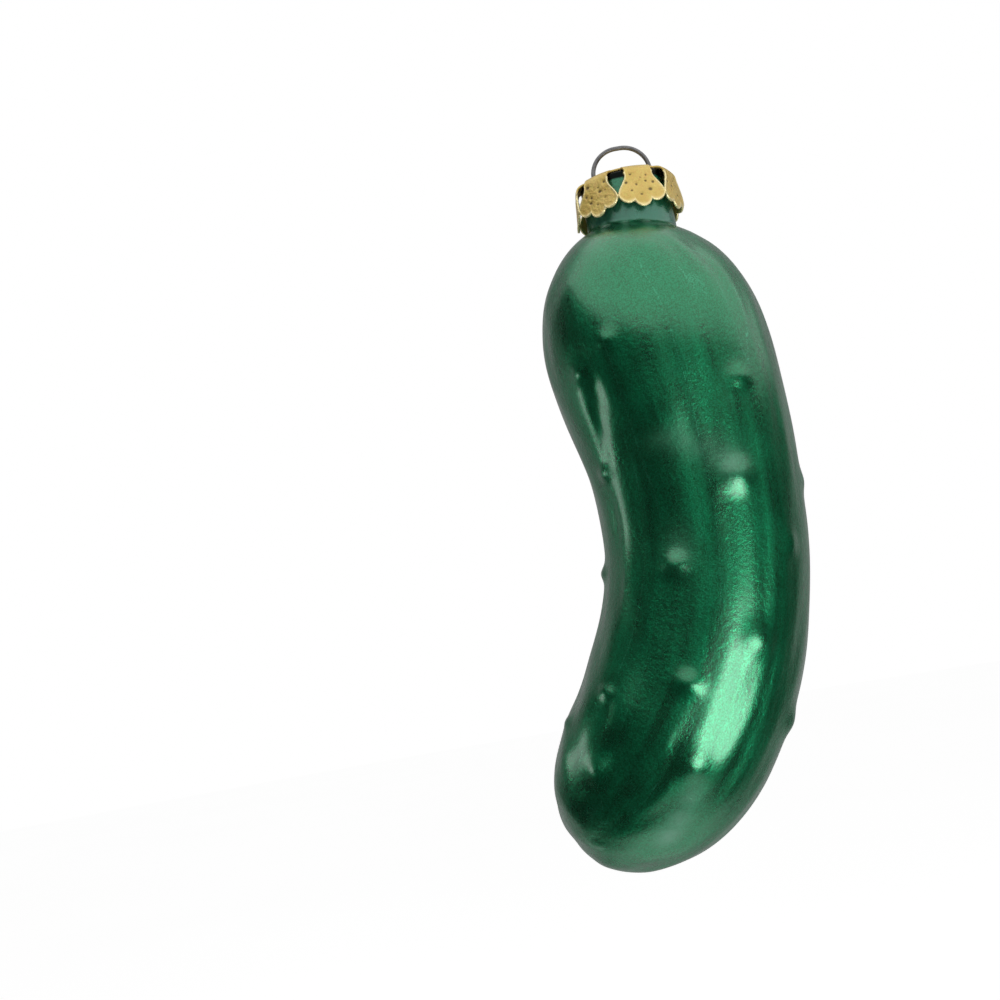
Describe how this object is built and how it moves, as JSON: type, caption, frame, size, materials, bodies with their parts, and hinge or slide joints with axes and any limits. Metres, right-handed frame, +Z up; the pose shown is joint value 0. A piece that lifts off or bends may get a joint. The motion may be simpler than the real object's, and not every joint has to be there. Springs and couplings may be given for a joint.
{
  "type": "pickle ornament",
  "caption": "Hollow blown-glass pickle ornament with a bent, warty body, a stamped petal cap on its neck and a spring-wire loop to hang it by.",
  "frame": {"origin": "underside of the hanger's loop, where a hook bears, on the axis of the neck", "axes": "+Z up along the axis of the neck, the body bends towards -X at its lower end, the front faces -Y"},
  "size_m": [0.0415, 0.0318, 0.1025],
  "materials": {
    "green_glass": "satin green lacquer on silvered blown glass",
    "silvering": "silvered film",
    "gold_sheet": "thin stamped sheet, gold lacquered",
    "steel_wire": "drawn spring wire"
  },
  "bodies": {
    "glass": {"glass_body": "green_glass", "silver_lining": "silvering"},
    "cap": {"cap": "gold_sheet"},
    "hanger": {"hanger": "steel_wire"}
  },
  "joints": [
    {"name": "cap_swivel", "type": "hinge", "parent": "glass", "child": "cap", "pos_m": [0, 0, -0.005], "axis": [0, 0, 1], "continuous": true},
    {"name": "hanger_pull", "type": "slide", "parent": "cap", "child": "hanger", "axis": [0, 0, 1], "range_m": [0, 0.003]}
  ]
}
